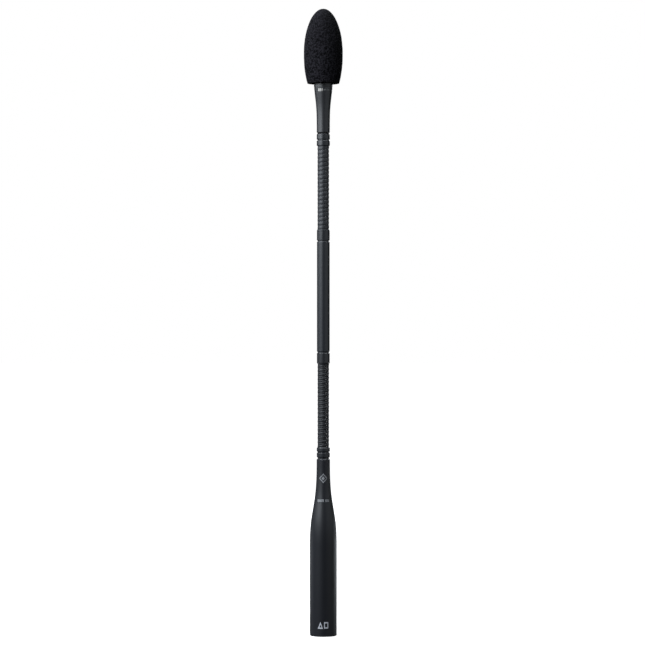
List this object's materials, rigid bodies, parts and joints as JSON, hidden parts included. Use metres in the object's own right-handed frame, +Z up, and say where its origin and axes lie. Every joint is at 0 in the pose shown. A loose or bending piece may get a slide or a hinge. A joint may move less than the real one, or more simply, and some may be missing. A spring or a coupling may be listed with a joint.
{
  "type": "gooseneck podium microphone",
  "caption": "Slim black gooseneck microphone with a plug barrel, two bendable coil stretches round a stiff tube, a flared capsule housing and a foam windscreen.",
  "frame": {"origin": "centre of the plug barrel's lower rim", "axes": "+Z up the microphone along its centreline when it stands straight; -Y towards its printed face; +X to the right of somebody who faces that side"},
  "size_m": [0.0278, 0.0278, 0.4419],
  "materials": {
    "barrel_paint": "satin",
    "ferrule_paint": "satin",
    "tube_paint": "satin",
    "housing_paint": "satin",
    "ring_paint": "satin",
    "grille_paint": "matte",
    "coil_steel": "matte",
    "contact_plating": "polished",
    "stud_brass": "satin",
    "screw_steel": "satin",
    "insert_plastic": "matte",
    "wire_sleeve": "gloss",
    "cable_sleeve": "satin",
    "board_laminate": "gloss",
    "capacitor_can": "satin",
    "chip_plastic": "matte",
    "black_rubber": "matte",
    "screen_mesh": "matte",
    "capsule_metal": "satin",
    "diaphragm_film": "gloss",
    "foam": "matte"
  },
  "bodies": {
    "base": {"base_housing": "barrel_paint", "xlr_insert": "insert_plastic", "pin_1_ground": "contact_plating", "pin_2_hot": "contact_plating", "pin_3_cold": "contact_plating", "insert_screw": "screw_steel", "output_wires": "wire_sleeve", "preamp_board": "board_laminate", "board_capacitors": "capacitor_can", "board_chips": "chip_plastic", "cable_grommet": "black_rubber", "base_collar": "ferrule_paint", "lower_cable": "cable_sleeve", "lower_gooseneck_tail": "coil_steel"},
    "lower_link_1": {"lower_gooseneck_link_1": "coil_steel"},
    "lower_link_2": {"lower_gooseneck_link_2": "coil_steel"},
    "lower_link_3": {"lower_gooseneck_link_3": "coil_steel"},
    "lower_link_4": {"lower_gooseneck_link_4": "coil_steel"},
    "lower_link_5": {"lower_gooseneck_link_5": "coil_steel"},
    "lower_link_6": {"lower_gooseneck_link_6": "coil_steel"},
    "lower_link_7": {"lower_gooseneck_link_7": "coil_steel"},
    "lower_link_8": {"lower_gooseneck_link_8": "coil_steel"},
    "lower_link_9": {"lower_gooseneck_link_9": "coil_steel"},
    "middle": {"lower_gooseneck_head": "coil_steel", "lower_ferrule": "ferrule_paint", "middle_tube": "tube_paint", "upper_ferrule": "ferrule_paint", "middle_cable": "cable_sleeve", "upper_cable": "cable_sleeve", "upper_gooseneck_tail": "coil_steel"},
    "upper_link_1": {"upper_gooseneck_link_1": "coil_steel"},
    "upper_link_2": {"upper_gooseneck_link_2": "coil_steel"},
    "upper_link_3": {"upper_gooseneck_link_3": "coil_steel"},
    "upper_link_4": {"upper_gooseneck_link_4": "coil_steel"},
    "upper_link_5": {"upper_gooseneck_link_5": "coil_steel"},
    "upper_link_6": {"upper_gooseneck_link_6": "coil_steel"},
    "upper_link_7": {"upper_gooseneck_link_7": "coil_steel"},
    "upper_link_8": {"upper_gooseneck_link_8": "coil_steel"},
    "upper_link_9": {"upper_gooseneck_link_9": "coil_steel"},
    "top": {"upper_gooseneck_head": "coil_steel", "top_collar": "ferrule_paint", "socket_insulator": "insert_plastic", "spring_contact": "contact_plating"},
    "capsule_ring": {"stud_ring": "black_rubber"},
    "capsule": {"capsule_coupling": "stud_brass", "contact_insulator": "insert_plastic", "module_contact_pin": "contact_plating", "capsule_housing": "housing_paint", "grille_ring": "ring_paint", "rear_vent_sleeve": "grille_paint", "front_grille": "grille_paint", "acoustic_screen": "screen_mesh", "isolation_rings": "black_rubber", "capsule_can": "capsule_metal", "converter_board": "board_laminate", "backplate": "stud_brass", "diaphragm_ring": "stud_brass", "diaphragm": "diaphragm_film"},
    "windscreen": {"foam_windscreen": "foam"}
  },
  "joints": [
    {"name": "lower_nod_1", "type": "hinge", "parent": "base", "child": "lower_link_1", "pos_m": [0, 0, 0.13545], "axis": [1, 0, 0], "range_deg": [-15, 15], "deforming": ["lower_cable"]},
    {"name": "lower_lean_1", "type": "hinge", "parent": "lower_link_1", "child": "lower_link_2", "pos_m": [0, 0, 0.14135], "axis": [0, 1, 0], "range_deg": [-15, 15]},
    {"name": "lower_nod_2", "type": "hinge", "parent": "lower_link_2", "child": "lower_link_3", "pos_m": [0, 0, 0.14725], "axis": [1, 0, 0], "range_deg": [-15, 15]},
    {"name": "lower_lean_2", "type": "hinge", "parent": "lower_link_3", "child": "lower_link_4", "pos_m": [0, 0, 0.15315], "axis": [0, 1, 0], "range_deg": [-15, 15]},
    {"name": "lower_nod_3", "type": "hinge", "parent": "lower_link_4", "child": "lower_link_5", "pos_m": [0, 0, 0.15905], "axis": [1, 0, 0], "range_deg": [-15, 15]},
    {"name": "lower_lean_3", "type": "hinge", "parent": "lower_link_5", "child": "lower_link_6", "pos_m": [0, 0, 0.16495], "axis": [0, 1, 0], "range_deg": [-15, 15]},
    {"name": "lower_nod_4", "type": "hinge", "parent": "lower_link_6", "child": "lower_link_7", "pos_m": [0, 0, 0.17085], "axis": [1, 0, 0], "range_deg": [-15, 15]},
    {"name": "lower_lean_4", "type": "hinge", "parent": "lower_link_7", "child": "lower_link_8", "pos_m": [0, 0, 0.17675], "axis": [0, 1, 0], "range_deg": [-15, 15]},
    {"name": "lower_nod_5", "type": "hinge", "parent": "lower_link_8", "child": "lower_link_9", "pos_m": [0, 0, 0.18265], "axis": [1, 0, 0], "range_deg": [-15, 15]},
    {"name": "lower_lean_5", "type": "hinge", "parent": "lower_link_9", "child": "middle", "pos_m": [0, 0, 0.18855], "axis": [0, 1, 0], "range_deg": [-15, 15]},
    {"name": "upper_nod_1", "type": "hinge", "parent": "middle", "child": "upper_link_1", "pos_m": [0, 0, 0.28905], "axis": [1, 0, 0], "range_deg": [-15, 15], "deforming": ["upper_cable"]},
    {"name": "upper_lean_1", "type": "hinge", "parent": "upper_link_1", "child": "upper_link_2", "pos_m": [0, 0, 0.29495], "axis": [0, 1, 0], "range_deg": [-15, 15]},
    {"name": "upper_nod_2", "type": "hinge", "parent": "upper_link_2", "child": "upper_link_3", "pos_m": [0, 0, 0.30085], "axis": [1, 0, 0], "range_deg": [-15, 15]},
    {"name": "upper_lean_2", "type": "hinge", "parent": "upper_link_3", "child": "upper_link_4", "pos_m": [0, 0, 0.30675], "axis": [0, 1, 0], "range_deg": [-15, 15]},
    {"name": "upper_nod_3", "type": "hinge", "parent": "upper_link_4", "child": "upper_link_5", "pos_m": [0, 0, 0.31265], "axis": [1, 0, 0], "range_deg": [-15, 15]},
    {"name": "upper_lean_3", "type": "hinge", "parent": "upper_link_5", "child": "upper_link_6", "pos_m": [0, 0, 0.31855], "axis": [0, 1, 0], "range_deg": [-15, 15]},
    {"name": "upper_nod_4", "type": "hinge", "parent": "upper_link_6", "child": "upper_link_7", "pos_m": [0, 0, 0.32445], "axis": [1, 0, 0], "range_deg": [-15, 15]},
    {"name": "upper_lean_4", "type": "hinge", "parent": "upper_link_7", "child": "upper_link_8", "pos_m": [0, 0, 0.33035], "axis": [0, 1, 0], "range_deg": [-15, 15]},
    {"name": "upper_nod_5", "type": "hinge", "parent": "upper_link_8", "child": "upper_link_9", "pos_m": [0, 0, 0.33625], "axis": [1, 0, 0], "range_deg": [-15, 15]},
    {"name": "upper_lean_5", "type": "hinge", "parent": "upper_link_9", "child": "top", "pos_m": [0, 0, 0.34215], "axis": [0, 1, 0], "range_deg": [-15, 15]},
    {"name": "capsule_rise", "type": "slide", "parent": "top", "child": "capsule_ring", "axis": [0, 0, 1], "range_m": [0, 0.00187]},
    {"name": "capsule_unscrew", "type": "hinge", "parent": "capsule_ring", "child": "capsule", "pos_m": [0, 0, 0.354], "axis": [0, 0, 1], "range_deg": [0, 900]},
    {"name": "windscreen_pull", "type": "slide", "parent": "capsule", "child": "windscreen", "axis": [0, 0, 1], "range_m": [0, 0.06]}
  ],
  "couplings": [
    {"joint": "lower_nod_2", "follows": "lower_nod_1", "ratio": 1},
    {"joint": "lower_lean_2", "follows": "lower_lean_1", "ratio": 1},
    {"joint": "lower_nod_3", "follows": "lower_nod_1", "ratio": 1},
    {"joint": "lower_lean_3", "follows": "lower_lean_1", "ratio": 1},
    {"joint": "lower_nod_4", "follows": "lower_nod_1", "ratio": 1},
    {"joint": "lower_lean_4", "follows": "lower_lean_1", "ratio": 1},
    {"joint": "lower_nod_5", "follows": "lower_nod_1", "ratio": 1},
    {"joint": "lower_lean_5", "follows": "lower_lean_1", "ratio": 1},
    {"joint": "upper_nod_2", "follows": "upper_nod_1", "ratio": 1},
    {"joint": "upper_lean_2", "follows": "upper_lean_1", "ratio": 1},
    {"joint": "upper_nod_3", "follows": "upper_nod_1", "ratio": 1},
    {"joint": "upper_lean_3", "follows": "upper_lean_1", "ratio": 1},
    {"joint": "upper_nod_4", "follows": "upper_nod_1", "ratio": 1},
    {"joint": "upper_lean_4", "follows": "upper_lean_1", "ratio": 1},
    {"joint": "upper_nod_5", "follows": "upper_nod_1", "ratio": 1},
    {"joint": "upper_lean_5", "follows": "upper_lean_1", "ratio": 1},
    {"joint": "capsule_unscrew", "follows": "capsule_rise", "rad_per_m": 8377.6}
  ]
}
